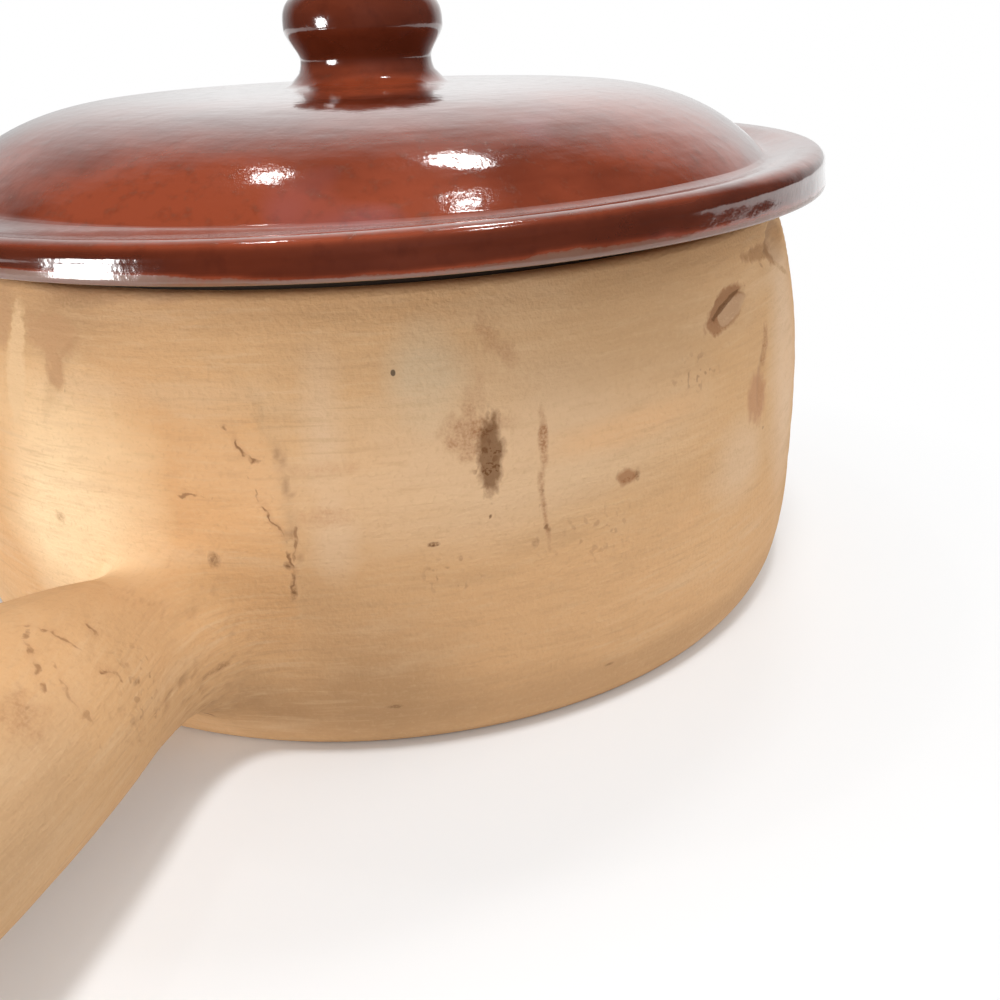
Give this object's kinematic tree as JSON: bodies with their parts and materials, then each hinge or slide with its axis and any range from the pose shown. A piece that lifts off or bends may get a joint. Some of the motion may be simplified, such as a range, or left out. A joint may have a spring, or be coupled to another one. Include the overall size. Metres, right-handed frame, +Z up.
{
  "type": "terracotta cooking pot",
  "caption": "Round thrown clay cooking pot with a hollow side handle and a loose, domed, red-brown glazed lid with a wide flange and a mushroom knob.",
  "frame": {"origin": "centre of the flat base, on the surface that the pot stands on", "axes": "+Z up along the pot's axis, +X along the handle, away from the pot"},
  "size_m": [0.3311, 0.237, 0.1493],
  "materials": {
    "bare_clay": "unglazed buff terracotta, wiped on the wheel",
    "lid_clay": "unglazed buff terracotta",
    "lining_glaze": "glossy honey-brown glaze",
    "red_glaze": "glossy red-brown glaze"
  },
  "bodies": {
    "pot": {"pot_body": "bare_clay", "pot_lining": "lining_glaze", "handle": "bare_clay", "handle_collar": "bare_clay"},
    "lid": {"lid": "lid_clay", "lid_knob": "lid_clay", "lid_glaze": "red_glaze"}
  },
  "joints": [
    {"name": "lid_lift", "type": "slide", "parent": "pot", "child": "lid", "axis": [0, 0, 1], "range_m": [0, 0.15]}
  ]
}
